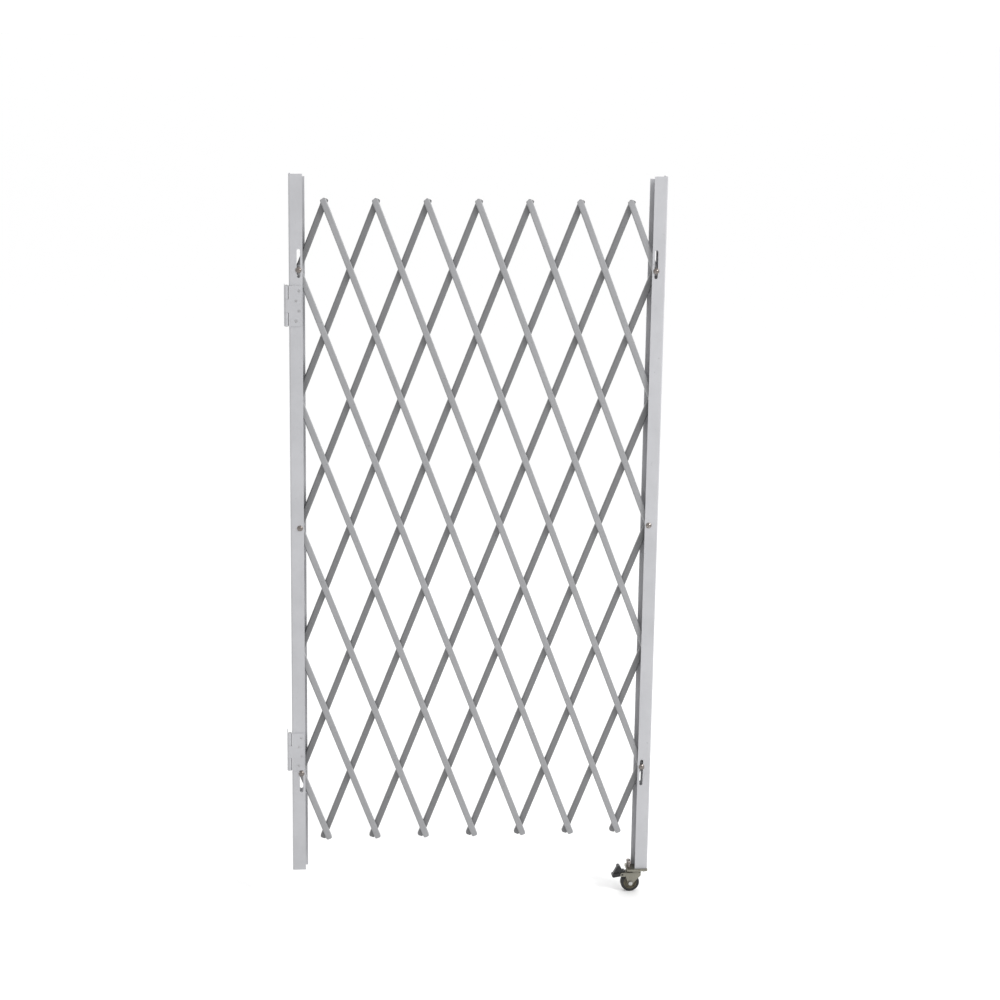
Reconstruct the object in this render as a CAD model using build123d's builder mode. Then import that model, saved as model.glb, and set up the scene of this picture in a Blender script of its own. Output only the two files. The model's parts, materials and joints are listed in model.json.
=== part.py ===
"""Expandable security gate: a riveted scissor lattice between two steel channel posts.

The hanging post (left) carries two butt hinges, the leading post (right) stands on a
swivel caster with a brake. Millimetres, +Z up, the front faces -Y, X runs along the gate.
The origin lies on the floor, midway between the wall plane and the leading post's back.
"""

from build123d import *

import os
from math import cos, hypot, radians, sin, sqrt

os.makedirs("parts", exist_ok=True)

# Scissor lattice: a grid of pivots, shown fully open
pivot_pitch = 176.5  # rivet to rivet along a bar
open_angle = 21.3  # bars from the vertical, fully open
fold_angle = 18.0  # how far each bar turns until the gate is folded
column_count = 14
row_count = 10
first_pinned_row = 1  # rows counted from the top; these three meet the posts
fixed_row = 5
last_pinned_row = 9

# Lattice bars: rolled channel, webs to the front
bar_width = 16.0
bar_depth = 9.0
bar_wall = 1.5
bar_shoulder_radius = 3.0
bar_overhang = 12.0  # beyond the last pivot, at the top and in the posts
bar_foot_overhang = 24.0  # beyond the pivots of the lowest row
layer_gap = 1.0  # between the front and the rear layer

# Rivets: studs on the front bars' webs, headed over behind the rear bars' webs
rivet_radius = 3.0
rivet_tail_clearance = 1.5  # radial, to a bar's flanges
rivet_tail_height = 1.6
rivet_play = 0.15
rivet_sides = 6  # the many rivets and their holes are drawn with flats
fastener_sides = 8  # so are the shanks and spacers of bolts, screws and pins
round_sides = 16  # bolt heads, hinge barrels, the caster's fork and its pedal
bend_sides = 12  # the bars' shoulders and the posts' bends: three flats to a corner
race_sides = 24

# Posts: pressed channels that open towards the lattice
post_depth = 36.0
post_wall = 2.0
post_bend_radius = 4.0
front_flange = 34.0
rear_flange = 40.0
pivot_inset = 24.0  # from the web's outer face to the pivots
post_headroom = 236.5  # above the upper slide bolt
hanging_post_tail = 267.0  # below the lower slide bolt
lattice_rise = 287.5  # lower slide bolt above the leading post's foot
rear_flange_drop = 8.0
slot_width = 8.6
slot_end_play = 1.0  # past the bolt when the gate is folded
slot_back_reach = 20.0  # the other way from the bolt

# Bolts through the posts
bolt_radius = 4.0
bolt_head_radius = 7.5
bolt_head_height = 4.5
bolt_head_chamfer = 2.5
bolt_nut_size = 13.0  # across the flats
bolt_nut_height = 5.0
bolt_spacer_clearance = 1.0  # radial, to a bar's flanges
slide_gap = 0.2  # head and nut to flange, where the bolt slides
running_fit = 0.08  # radial, for whatever turns on a pin

# Butt hinges
hinge_height = 102.0
hinge_leaf_width = 38.0  # from the pin's axis
hinge_leaf_thickness = 2.0
hinge_barrel_radius = 6.0
hinge_pin_radius = 3.0
hinge_tip_radius = 4.5
hinge_tip_height = 2.0
hinge_knuckles = 3
knuckle_gap = 0.3
knuckle_clearance = 0.4  # a leaf's edge to the other leaf's knuckles
hinge_post_gap = 0.5  # barrel to post
upper_hinge_drop = 31.0  # below the upper slide bolt's head
lower_hinge_rise = 1.5  # above the lower slide bolt's head: the gate's open stop
screw_radius = 2.2
screw_head_radius = 4.0
screw_head_depth = 1.2  # sunk flush into the leaf
screw_length = 5.5
screw_fit = 0.1  # radial, around the screws
wall_screw_radius = 2.75  # holes for the wall's screws
screw_step = 25.0
screw_near_column = 23.5  # from the pin's axis
screw_far_column = 31.0

# Caster wheel, tyre and axle
wheel_radius = 25.0
wheel_core_radius = 17.5
wheel_width = 18.0
wheel_core_width = 16.0
wheel_hub_radius = 7.0
wheel_trail = 16.0  # axle behind the swivel axis
axle_radius = 3.0
axle_head_size = 10.0  # across the flats
axle_head_height = 3.5

# Caster fork: a pressed stirrup with two ears for the pedal
fork_inner_width = 21.0
fork_wall = 2.0
fork_bend_radius = 3.0
fork_hub_gap = 0.3  # to each end of the wheel's hub
fork_crown_clearance = 3.0  # over the tyre
fork_axle_boss_radius = 6.0
fork_nose_reach = 12.0  # ahead of the swivel axis
fork_cheek = 9.0  # height of the cheeks' upright ends
fork_ear_radius = 5.5

# Raceway, kingpin and plates
race_radius = 15.0
race_height = 2.6
race_gap = 0.4
cup_radius = 15.5
cup_depth = 4.0
kingpin_radius = 4.0
kingpin_head_radius = 7.0
kingpin_head_height = 2.4
kingpin_play = 0.1
plate_length = 56.0
plate_width = 48.0
plate_corner = 4.0
top_plate_thickness = 2.5
foot_plate_thickness = 3.0

# Bolts through both plates
plate_bolt_spacing_x = 40.0
plate_bolt_spacing_y = 18.0
plate_bolt_radius = 3.0
plate_bolt_size = 10.0  # across the flats
plate_bolt_head_height = 5.0
plate_bolt_collar_radius = 4.5
plate_bolt_collar_height = 12.5
plate_bolt_end = 1.0  # past the nut

# Brake pedal: a moulded lever with its own stub pins
pedal_width = 18.0
pedal_press_angle = 20.0
pedal_pivot_angle = 46.9  # above the horizontal, behind the axle
pedal_tyre_gap = 1.8  # to the pedal's hub
pedal_pin_radius = 2.5
pedal_hub_radius = 5.4
pedal_lobe_radius = 5.0
pedal_press_back = 22.5  # foot lobe, from the pivot
pedal_press_drop = 4.0
pedal_release_back = 10.0  # upper lobe, from the pivot
pedal_release_rise = 19.5
pedal_heel_radius = 3.0
pedal_heel_reach = 4.5  # towards the swivel axis, from the pivot
pedal_heel_rise = 7.0
pedal_heel_gap = 1.0  # to the fork's crown
pedal_nose_radius = 2.0
pedal_nose_gap = 0.4  # to the tyre, pedal down

# Sizes and places that follow from those above
bar_half_width = bar_width / 2 - bar_wall  # inside its flanges
rivet_tail_radius = bar_half_width - rivet_tail_clearance
bolt_spacer_radius = bar_half_width - bolt_spacer_clearance

column_pitch = pivot_pitch * sin(radians(open_angle))
row_pitch = pivot_pitch * cos(radians(open_angle))
barrel_reach = hinge_post_gap + 2 * hinge_barrel_radius  # wall plane to post
gate_width = barrel_reach + 2 * pivot_inset + column_count * column_pitch
hanging_web = barrel_reach - gate_width / 2
leading_web = gate_width / 2
first_column = hanging_web + pivot_inset

crown_bottom = 2 * wheel_radius + fork_crown_clearance
crown_top = crown_bottom + fork_wall
cup_bottom = crown_top + race_height + race_gap
top_plate_bottom = cup_bottom + cup_depth
foot_plate_bottom = top_plate_bottom + top_plate_thickness
leading_post_foot = foot_plate_bottom + foot_plate_thickness

front_layer = -layer_gap / 2 - bar_depth  # front faces of the two layers
rear_layer = layer_gap / 2
front_web_back = front_layer + bar_wall
rear_web_back = rear_layer + bar_wall
post_front = -post_depth / 2
post_inside = post_depth / 2 - post_wall


def row_height(row):
    """Height of a pivot row."""
    last_height = leading_post_foot + lattice_rise
    return last_height + (last_pinned_row - row) * row_pitch


def pivot(column, row):
    """X and Z of one pivot of the lattice."""
    return first_column + column * column_pitch, row_height(row)


def on_post(column, row):
    """True where a bolt, not a rivet, joins the bars to a post."""
    return column in (0, column_count) and row in (
        first_pinned_row,
        fixed_row,
        last_pinned_row,
    )


def elevation(y):
    """A plane seen from the front, at depth y; extruding by a minus amount goes back."""
    return Plane.XZ.offset(-y)


def save(piece, name):
    """Label a finished piece and write it."""
    piece.part.label = name
    export_step(piece.part, f"parts/{name}.step")


def flats(radius):
    """The outline of a shank, a screw or a spacer, drawn with flats."""
    return RegularPolygon(radius, fastener_sides)


def clear_hole(radius, clearance=running_fit, mode=Mode.ADD):
    """The outline of a hole in which a shank of this radius can turn, drawn with flats."""
    return RegularPolygon(radius + clearance, fastener_sides, major_radius=False, mode=mode)


def hexagon(size, rotation=0):
    """A hexagon of this size across its flats."""
    return RegularPolygon(size / 2, 6, major_radius=False, rotation=rotation)


def channel_outline(span, reach, bend):
    """The outer shape of a channel: its web along X, its flanges towards +Y."""
    with BuildSketch() as outline:
        with Locations((bend - span / 2, bend), (span / 2 - bend, bend)):
            RegularPolygon(bend, bend_sides)
        with Locations((0, reach)):
            Rectangle(span, reach - bend, align=(Align.CENTER, Align.MAX))
        make_hull()
    return outline.sketch


def channel_section(span, reach, wall, bend):
    """A channel's section, of one wall thickness all along."""
    with BuildSketch() as section:
        add(channel_outline(span, reach, bend))
        with Locations((0, wall)):
            add(channel_outline(span - 2 * wall, reach, bend - wall), mode=Mode.SUBTRACT)
    return section.sketch


# Lattice bars

bar_section = channel_section(bar_width, bar_depth, bar_wall, bar_shoulder_radius)


def lattice_bar(name, places, layer, riveted):
    """A channel bar along a row of pivots, with its holes."""
    (x_1, z_1), (x_2, z_2) = pivot(*places[0]), pivot(*places[-1])
    run = hypot(x_2 - x_1, z_2 - z_1)
    along = Vector((x_2 - x_1) / run, 0, (z_2 - z_1) / run)
    across = Vector(along.Z, 0, -along.X)
    overhangs = [
        bar_foot_overhang if row == row_count else bar_overhang
        for column, row in (places[0], places[-1])
    ]
    start = Vector(x_1, layer, z_1) - along * overhangs[0]
    bolts = [pivot(*place) for place in places if on_post(*place)]
    rivets = [pivot(*place) for place in places if not on_post(*place)]
    with BuildPart() as bar:
        with BuildSketch(Plane(origin=start, x_dir=across, z_dir=along)):
            add(bar_section)
        extrude(amount=run + sum(overhangs))
        if bolts:
            with BuildSketch(elevation(layer)):
                with Locations(*bolts):
                    clear_hole(bolt_radius)
            extrude(amount=-bar_wall, mode=Mode.SUBTRACT)
        if riveted and rivets:
            with BuildSketch(elevation(layer)):
                with Locations(*rivets):
                    RegularPolygon(rivet_radius + running_fit, rivet_sides, major_radius=False)
            extrude(amount=-bar_wall, mode=Mode.SUBTRACT)
    save(bar, name)


def front_places(difference):
    """Pivots of the front bar on which column minus row is this difference, from the top."""
    columns = range(column_count + 1)
    return [
        (column, column - difference)
        for column in columns
        if 0 <= column - difference <= row_count
    ]


def rear_places(total):
    """Pivots of the rear bar on which column plus row is this total, from the bottom."""
    columns = range(column_count + 1)
    return [
        (column, total - column)
        for column in columns
        if 0 <= total - column <= row_count
    ]


rivet_tail = rear_web_back + rivet_play

with BuildPart() as rivet:
    with BuildSketch(elevation(front_web_back)):
        RegularPolygon(rivet_radius, rivet_sides)
    extrude(amount=front_web_back - rivet_tail)
    with BuildSketch(elevation(rivet_tail)) as tail_outline:
        RegularPolygon(rivet_tail_radius, rivet_sides)
    loft(sections=[tail_outline.sketch, Vertex(0, rivet_tail + rivet_tail_height, 0)])


def rivet_group(name, places):
    """The rivets that one front bar carries."""
    spots = [pivot(*place) for place in places if not on_post(*place)]
    with BuildPart() as rivets:
        with Locations(*[(x, 0, z) for x, z in spots]):
            add(rivet.part)
    save(rivets, name)


front_differences = range(1 - row_count, column_count, 2)
rear_totals = range(1, column_count + row_count, 2)

for number, difference in enumerate(front_differences, 1):
    bar_places = front_places(difference)
    lattice_bar(f"front_bar_{number:02d}", bar_places, front_layer, riveted=False)
    rivet_group(f"rivets_{number:02d}", bar_places)

for number, total in enumerate(rear_totals, 1):
    lattice_bar(f"rear_bar_{number:02d}", rear_places(total), rear_layer, riveted=True)


# Posts

post_section = channel_section(post_depth, rear_flange, post_wall, post_bend_radius)
post_top = row_height(first_pinned_row) + post_headroom
hanging_post_foot = row_height(last_pinned_row) - hanging_post_tail

upper_hinge = (
    row_height(first_pinned_row)
    - bolt_head_radius
    - upper_hinge_drop
    - hinge_height / 2
)
lower_hinge = (
    row_height(last_pinned_row)
    + bolt_head_radius
    + lower_hinge_rise
    + hinge_height / 2
)
hinge_x = hanging_web - hinge_post_gap - hinge_barrel_radius
hinge_y = post_front - hinge_leaf_thickness + hinge_barrel_radius


def screw_spots(middle):
    """Distance from the pin's axis, and height, of one hinge leaf's staggered screws."""
    columns = (screw_far_column, screw_near_column) * 2
    top = middle + (len(columns) - 1) / 2 * screw_step
    return [(column, top - place * screw_step) for place, column in enumerate(columns)]


def slot(column, row):
    """Sketch the slot in which a post bolt slides away from the fixed row, with flat ends."""
    x, z = pivot(column, row)
    folded_pitch = pivot_pitch * cos(radians(open_angle - fold_angle))
    travel = (fixed_row - row) * (folded_pitch - row_pitch)
    fold_reach = abs(travel) + bolt_radius + slot_end_play
    middle = z + (fold_reach - slot_back_reach) / 2 * (1 if travel > 0 else -1)
    with BuildSketch(mode=Mode.PRIVATE) as outline:
        Rectangle(slot_width, fold_reach + slot_back_reach)
        chamfer(outline.vertices(), slot_width / (2 + sqrt(2)))
    with Locations((x, middle)):
        add(outline.sketch)


def post(name, web, foot, column, hand, screws):
    """A channel post, shorter in its front flange; hand is 1 where it opens towards +X."""
    with BuildPart() as channel:
        with BuildSketch(Plane(origin=(web, 0, foot), x_dir=(0, -hand, 0))):
            add(post_section)
        extrude(amount=post_top - foot)
        with BuildSketch(elevation(post_front)):
            slot(column, first_pinned_row)
            slot(column, last_pinned_row)
            with Locations(pivot(column, fixed_row)):
                clear_hole(bolt_radius)
        extrude(amount=-post_depth, mode=Mode.SUBTRACT)
        side = Align.MIN if hand > 0 else Align.MAX
        with BuildSketch(elevation(post_front)):
            with Locations((web + hand * front_flange, foot)):
                Rectangle(rear_flange, post_top - foot, align=(side, Align.MIN))
        extrude(amount=-post_wall, mode=Mode.SUBTRACT)
        with BuildSketch(elevation(post_inside)):
            with Locations((web + hand * post_bend_radius, post_top)):
                Rectangle(rear_flange, rear_flange_drop, align=(side, Align.MAX))
        extrude(amount=-post_wall, mode=Mode.SUBTRACT)
        if screws:
            with BuildSketch(elevation(post_front)):
                with Locations(*screws):
                    clear_hole(screw_radius, screw_fit)
            extrude(amount=-post_wall, mode=Mode.SUBTRACT)
    save(channel, name)


leaf_screws = [
    (hinge_x + reach, height)
    for middle in (upper_hinge, lower_hinge)
    for reach, height in screw_spots(middle)
]

post("hanging_post", hanging_web, hanging_post_foot, 0, 1, leaf_screws)
post("leading_post", leading_web, leading_post_foot, column_count, -1, [])


# Bolts through the posts, each with its nut and its two spacers


def post_bolt(name, column, row, play, front_end, rear_end):
    """A round head bolt; play is the gap under its head and its nut."""
    spot = pivot(column, row)
    head = post_front - play
    nut = -head
    with BuildPart() as bolt:
        with BuildSketch(elevation(head)):
            with Locations(spot):
                RegularPolygon(bolt_head_radius, round_sides)
        extrude(amount=bolt_head_height)
        chamfer(bolt.edges().group_by(Axis.Y)[0], bolt_head_chamfer)
        with BuildSketch(elevation(head)):
            with Locations(spot):
                flats(bolt_radius)
        extrude(amount=head - nut)
        with BuildSketch(elevation(nut)):
            with Locations(spot):
                hexagon(bolt_nut_size)
        extrude(amount=-bolt_nut_height)
        for near, far in (front_end, rear_end):
            with BuildSketch(elevation(near)):
                with Locations(spot):
                    flats(bolt_spacer_radius)
            extrude(amount=near - far)
    save(bolt, name)


fixed_spacers = (
    (-post_inside, front_layer - rivet_play),
    (rear_web_back + rivet_play, post_inside),
)
sliding_spacers = (
    (slide_gap - post_inside, front_layer),
    (rear_web_back + rivet_play, post_inside - slide_gap),
)

post_bolt("hanging_pivot_bolt", 0, fixed_row, 0, *fixed_spacers)
post_bolt("leading_pivot_bolt", column_count, fixed_row, 0, *fixed_spacers)
post_bolt("upper_left_slide_bolt", 0, first_pinned_row, slide_gap, *sliding_spacers)
post_bolt("lower_left_slide_bolt", 0, last_pinned_row, slide_gap, *sliding_spacers)
post_bolt(
    "upper_right_slide_bolt", column_count, first_pinned_row, slide_gap, *sliding_spacers
)
post_bolt(
    "lower_right_slide_bolt", column_count, last_pinned_row, slide_gap, *sliding_spacers
)


# Butt hinges: the wall leaf has the outer knuckles, the post leaf those between

knuckle_height = (hinge_height + knuckle_gap) / hinge_knuckles - knuckle_gap
leaf_front = hinge_y - hinge_barrel_radius
wall_plane = hinge_x - hinge_barrel_radius


def leaf_blank(middle, plane, rise, first_knuckle):
    """A hinge leaf without its screw holes; plane and rise say how it stands on the pin."""
    bottom = middle - hinge_height / 2
    with BuildPart() as leaf:
        with BuildSketch(plane.offset(rise * bottom)):
            with Locations((hinge_barrel_radius + knuckle_clearance, -hinge_barrel_radius)):
                Rectangle(
                    hinge_leaf_width - hinge_barrel_radius - knuckle_clearance,
                    hinge_leaf_thickness,
                    align=Align.MIN,
                )
        extrude(amount=rise * hinge_height)
        for place in range(first_knuckle, hinge_knuckles, 2):
            height = bottom + place * (knuckle_height + knuckle_gap)
            with BuildSketch(plane.offset(rise * height)):
                RegularPolygon(hinge_barrel_radius, round_sides)
                with Locations((0, -hinge_barrel_radius)):
                    Rectangle(hinge_leaf_width, hinge_leaf_thickness, align=Align.MIN)
                clear_hole(hinge_pin_radius, mode=Mode.SUBTRACT)
            extrude(amount=rise * knuckle_height)
    return leaf.part


hinge_middles = (upper_hinge, lower_hinge)
pin_foot = Plane(origin=(hinge_x, hinge_y, 0))
wall_foot = Plane(origin=(hinge_x, hinge_y, 0), x_dir=(0, 1, 0), z_dir=(0, 0, -1))
wall_leaf_inside = (wall_plane + hinge_leaf_thickness, hinge_y, 0)

with BuildPart() as hinge_wall_leaves:
    for middle in hinge_middles:
        add(leaf_blank(middle, wall_foot, -1, 0))
        with Locations(Plane(wall_leaf_inside, x_dir=(0, 1, 0), z_dir=(1, 0, 0))):
            with Locations(*screw_spots(middle)):
                Hole(wall_screw_radius, depth=hinge_leaf_thickness)
save(hinge_wall_leaves, "hinge_wall_leaves")

with BuildPart() as hinge_post_leaves:
    for middle in hinge_middles:
        add(leaf_blank(middle, pin_foot, 1, 1))
    with BuildSketch(elevation(leaf_front)):
        with Locations(*leaf_screws):
            clear_hole(screw_head_radius, screw_fit)
    extrude(amount=-screw_head_depth, mode=Mode.SUBTRACT)
    with BuildSketch(elevation(leaf_front)):
        with Locations(*leaf_screws):
            clear_hole(screw_radius, screw_fit)
    extrude(amount=-hinge_leaf_thickness, mode=Mode.SUBTRACT)
save(hinge_post_leaves, "hinge_post_leaves")

with BuildPart() as hinge_pins:
    for middle in hinge_middles:
        bottom = middle - hinge_height / 2
        with BuildSketch(pin_foot.offset(bottom)):
            flats(hinge_pin_radius)
        extrude(amount=hinge_height)
        for height in (bottom - hinge_tip_height, bottom + hinge_height):
            with BuildSketch(pin_foot.offset(height)):
                RegularPolygon(hinge_tip_radius, round_sides)
            extrude(amount=hinge_tip_height)
save(hinge_pins, "hinge_pins")

with BuildPart() as screw:
    with BuildSketch(elevation(leaf_front)):
        flats(screw_head_radius)
    extrude(amount=-screw_head_depth)
    with BuildSketch(elevation(leaf_front)):
        flats(screw_radius)
    extrude(amount=-screw_length)

with BuildPart() as hinge_screws:
    with Locations(*[(x, 0, z) for x, z in leaf_screws]):
        add(screw.part)
save(hinge_screws, "hinge_screws")


# Caster: everything stands around its swivel axis, under the middle of the plates

swivel_x = leading_web - plate_length / 2
axle_x = swivel_x - wheel_trail
axle_z = wheel_radius
axle_line = Axis((axle_x, 0, axle_z), (0, 1, 0))
wheel_section = Plane((axle_x, 0, axle_z), x_dir=(0, 1, 0), z_dir=(1, 0, 0))
fork_width = fork_inner_width + 2 * fork_wall


def ring(inner, outer, width):
    """Sketch the section of a ring of the wheel."""
    with Locations((0, inner)):
        Rectangle(width, outer - inner, align=(Align.CENTER, Align.MIN))


with BuildPart() as caster_wheel:
    with BuildSketch(wheel_section):
        ring(0, wheel_hub_radius, fork_inner_width - 2 * fork_hub_gap)
        ring(0, wheel_core_radius, wheel_core_width)
    revolve(axis=axle_line)
    with BuildSketch(elevation(0)):
        with Locations((axle_x, axle_z)):
            clear_hole(axle_radius)
    extrude(amount=fork_inner_width, both=True, mode=Mode.SUBTRACT)
save(caster_wheel, "caster_wheel")

with BuildPart() as caster_tyre:
    with BuildSketch(wheel_section):
        ring(wheel_core_radius, wheel_radius, wheel_width)
    revolve(axis=axle_line)
save(caster_tyre, "caster_tyre")

with BuildPart() as caster_axle:
    with BuildSketch(elevation(0)):
        with Locations((axle_x, axle_z)):
            flats(axle_radius)
    extrude(amount=fork_width / 2, both=True)
    for side in (-1, 1):
        with BuildSketch(elevation(side * fork_width / 2)):
            with Locations((axle_x, axle_z)):
                hexagon(axle_head_size)
        extrude(amount=-side * axle_head_height)
save(caster_axle, "caster_axle")

pedal_distance = wheel_radius + pedal_tyre_gap + pedal_hub_radius
pedal_pivot = (
    axle_x - pedal_distance * cos(radians(pedal_pivot_angle)),
    axle_z + pedal_distance * sin(radians(pedal_pivot_angle)),
)
fork_back = pedal_pivot[0] + pedal_heel_reach + pedal_heel_radius + pedal_heel_gap
fork_front = swivel_x + fork_nose_reach
ear_length = fork_back - pedal_pivot[0]

with BuildPart() as caster_fork:
    with BuildSketch(elevation(0)):
        with Locations((axle_x, axle_z)):
            RegularPolygon(fork_axle_boss_radius, round_sides)
        with Locations((fork_front, crown_top)):
            Rectangle(fork_front - fork_back, fork_cheek, align=Align.MAX)
        make_hull()
        with Locations(pedal_pivot):
            RegularPolygon(fork_ear_radius, round_sides)
            Rectangle(ear_length, 2 * fork_ear_radius, align=(Align.MIN, Align.CENTER))
    extrude(amount=fork_width / 2, both=True)
    fillet(caster_fork.edges().filter_by(Axis.X).group_by(Axis.Z)[-1], fork_bend_radius)
    with BuildSketch(elevation(0)):
        with Locations((fork_back, 0)):
            Rectangle(fork_front - fork_back, crown_bottom, align=Align.MIN)
            Rectangle(
                ear_length + 2 * fork_ear_radius,
                crown_top + fork_cheek,
                align=(Align.MAX, Align.MIN),
            )
    extrude(amount=fork_inner_width / 2, both=True, mode=Mode.SUBTRACT)
    with BuildSketch(elevation(0)):
        with Locations((axle_x, axle_z)):
            clear_hole(axle_radius)
        with Locations(pedal_pivot):
            clear_hole(pedal_pin_radius)
    extrude(amount=fork_width / 2, both=True, mode=Mode.SUBTRACT)
    with BuildSketch(Plane.XY.offset(crown_top)):
        with Locations((swivel_x, 0)):
            RegularPolygon(race_radius, race_sides)
    extrude(amount=race_height)
    with BuildSketch(Plane.XY.offset(crown_bottom)):
        with Locations((swivel_x, 0)):
            clear_hole(kingpin_radius)
    extrude(amount=fork_wall + race_height, mode=Mode.SUBTRACT)
save(caster_fork, "caster_fork")

with BuildPart() as caster_kingpin:
    head_top = crown_bottom - kingpin_play
    with BuildSketch(Plane.XY.offset(head_top)):
        with Locations((swivel_x, 0)):
            flats(kingpin_head_radius)
    extrude(amount=-kingpin_head_height)
    with BuildSketch(Plane.XY.offset(head_top)):
        with Locations((swivel_x, 0)):
            flats(kingpin_radius)
    extrude(amount=foot_plate_bottom - head_top)
save(caster_kingpin, "caster_kingpin")


# Plates under the leading post, and the bolts through them

bolt_grid = GridLocations(plate_bolt_spacing_x, plate_bolt_spacing_y, 2, 2)
plate_bolt_spots = [(swivel_x + spot.position.X, spot.position.Y) for spot in bolt_grid]

with BuildSketch() as plate_outline:
    with Locations((swivel_x, 0)):
        RectangleRounded(plate_length, plate_width, plate_corner)
    with Locations(*plate_bolt_spots):
        clear_hole(plate_bolt_radius, screw_fit, mode=Mode.SUBTRACT)

with BuildPart() as foot_plate:
    with BuildSketch(Plane.XY.offset(foot_plate_bottom)):
        add(plate_outline.sketch)
    extrude(amount=foot_plate_thickness)
save(foot_plate, "foot_plate")

with BuildPart() as caster_top_plate:
    with BuildSketch(Plane.XY.offset(top_plate_bottom)):
        add(plate_outline.sketch)
    extrude(amount=top_plate_thickness)
    with BuildSketch(Plane.XY.offset(cup_bottom)):
        with Locations((swivel_x, 0)):
            RegularPolygon(cup_radius, race_sides)
    extrude(amount=cup_depth)
    with BuildSketch(Plane.XY.offset(cup_bottom)):
        with Locations((swivel_x, 0)):
            clear_hole(kingpin_radius)
    extrude(amount=foot_plate_bottom - cup_bottom, mode=Mode.SUBTRACT)
save(caster_top_plate, "caster_top_plate")

with BuildPart() as plate_bolt:
    nut_bottom = top_plate_bottom - plate_bolt_head_height
    with BuildSketch(Plane.XY.offset(nut_bottom)):
        hexagon(plate_bolt_size, rotation=30)
    extrude(amount=plate_bolt_head_height)
    with BuildSketch(Plane.XY.offset(nut_bottom - plate_bolt_end)):
        flats(plate_bolt_radius)
    extrude(amount=leading_post_foot - nut_bottom + plate_bolt_end)
    with BuildSketch(Plane.XY.offset(leading_post_foot)):
        flats(plate_bolt_collar_radius)
    extrude(amount=plate_bolt_collar_height)
    with BuildSketch(Plane.XY.offset(leading_post_foot + plate_bolt_collar_height)):
        hexagon(plate_bolt_size, rotation=30)
    extrude(amount=plate_bolt_head_height)

with BuildPart() as caster_plate_bolts:
    with Locations(*[(x, y, 0) for x, y in plate_bolt_spots]):
        add(plate_bolt.part)
save(caster_plate_bolts, "caster_plate_bolts")


# Brake pedal

nose_turn = radians(pedal_press_angle + pedal_pivot_angle)
nose_reach = pedal_distance - wheel_radius - pedal_nose_gap - pedal_nose_radius
pedal_lobes = (
    (-pedal_press_back, -pedal_press_drop, pedal_lobe_radius),
    (-pedal_release_back, pedal_release_rise, pedal_lobe_radius),
    (pedal_heel_reach, pedal_heel_rise, pedal_heel_radius),
    (nose_reach * cos(nose_turn), -nose_reach * sin(nose_turn), pedal_nose_radius),
)

with BuildPart() as brake_pedal:
    for reach, rise, radius in pedal_lobes:
        with BuildSketch(elevation(0)):
            with Locations(pedal_pivot):
                RegularPolygon(pedal_hub_radius, round_sides)
            with Locations((pedal_pivot[0] + reach, pedal_pivot[1] + rise)):
                RegularPolygon(radius, round_sides)
            make_hull()
    extrude(amount=pedal_width / 2, both=True)
    with BuildSketch(elevation(0)):
        with Locations(pedal_pivot):
            flats(pedal_pin_radius)
    extrude(amount=fork_width / 2, both=True)
save(brake_pedal, "brake_pedal")
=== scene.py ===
import json
from collections import namedtuple
from functools import cache
from math import asin, cos, degrees, hypot, pi, radians, sin, sqrt

import bmesh
import bpy
from bpy.props import FloatProperty, FloatVectorProperty, IntProperty, PointerProperty
from bpy.types import NodeSocket, Operator, Panel, PropertyGroup
from mathutils import Matrix, Vector
from mathutils.geometry import convex_hull_2d


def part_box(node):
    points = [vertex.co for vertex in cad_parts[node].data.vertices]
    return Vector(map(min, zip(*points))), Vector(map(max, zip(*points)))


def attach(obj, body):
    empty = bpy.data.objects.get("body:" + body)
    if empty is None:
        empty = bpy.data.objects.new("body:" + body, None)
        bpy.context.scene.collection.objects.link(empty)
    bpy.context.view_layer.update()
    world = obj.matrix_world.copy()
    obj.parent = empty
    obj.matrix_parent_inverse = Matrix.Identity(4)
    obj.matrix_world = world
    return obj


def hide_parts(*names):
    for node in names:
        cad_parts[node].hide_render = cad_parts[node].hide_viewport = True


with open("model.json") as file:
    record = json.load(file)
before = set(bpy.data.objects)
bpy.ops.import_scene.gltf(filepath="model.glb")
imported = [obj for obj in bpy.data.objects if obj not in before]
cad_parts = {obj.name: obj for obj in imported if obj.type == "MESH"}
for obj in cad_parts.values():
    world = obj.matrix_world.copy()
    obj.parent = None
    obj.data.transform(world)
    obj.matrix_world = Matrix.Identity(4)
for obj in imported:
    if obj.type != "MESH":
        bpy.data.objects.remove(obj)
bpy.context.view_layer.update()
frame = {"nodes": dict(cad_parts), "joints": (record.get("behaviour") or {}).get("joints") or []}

bl_info = {
    "name": "Scissor Gate",
    "version": (1, 0, 0),
    "blender": (4, 5, 0),
    "location": "3D View > Sidebar > Gate",
    "description": "Dresses a riveted scissor lattice gate, its hinges and its caster",
    "category": "Object",
}

hanging_low, hanging_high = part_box("hanging_post")
leading_low, leading_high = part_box("leading_post")
leaf_low, leaf_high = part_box("hinge_post_leaves")
core_low, core_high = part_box("caster_wheel")
fork_low, fork_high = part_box("caster_fork")
plate_low, plate_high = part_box("caster_top_plate")
foot_low, foot_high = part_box("foot_plate")
joint_places = {joint["name"]: joint["pos_m"] for joint in frame["joints"]}

hair = 0.00015  # between dressed pieces that touch in the CAD
same_point = 1e-6  # points nearer than this are one point
bend_steps = 5  # straight runs in the bend of a sheet
sheet_inputs = ("Bend", "Wall", "Run", "Half width", "End corner")


def length(text, value):
    """A size in metres that a user may change."""
    return FloatProperty(description=text, default=value, min=0, unit="LENGTH", precision=5)


def angle(text, value):
    """An angle, given in degrees."""
    return FloatProperty(description=text, default=radians(value), subtype="ANGLE")


def whole(text, value, least=0):
    """A whole number."""
    return IntProperty(description=text, default=value, min=least)


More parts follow.
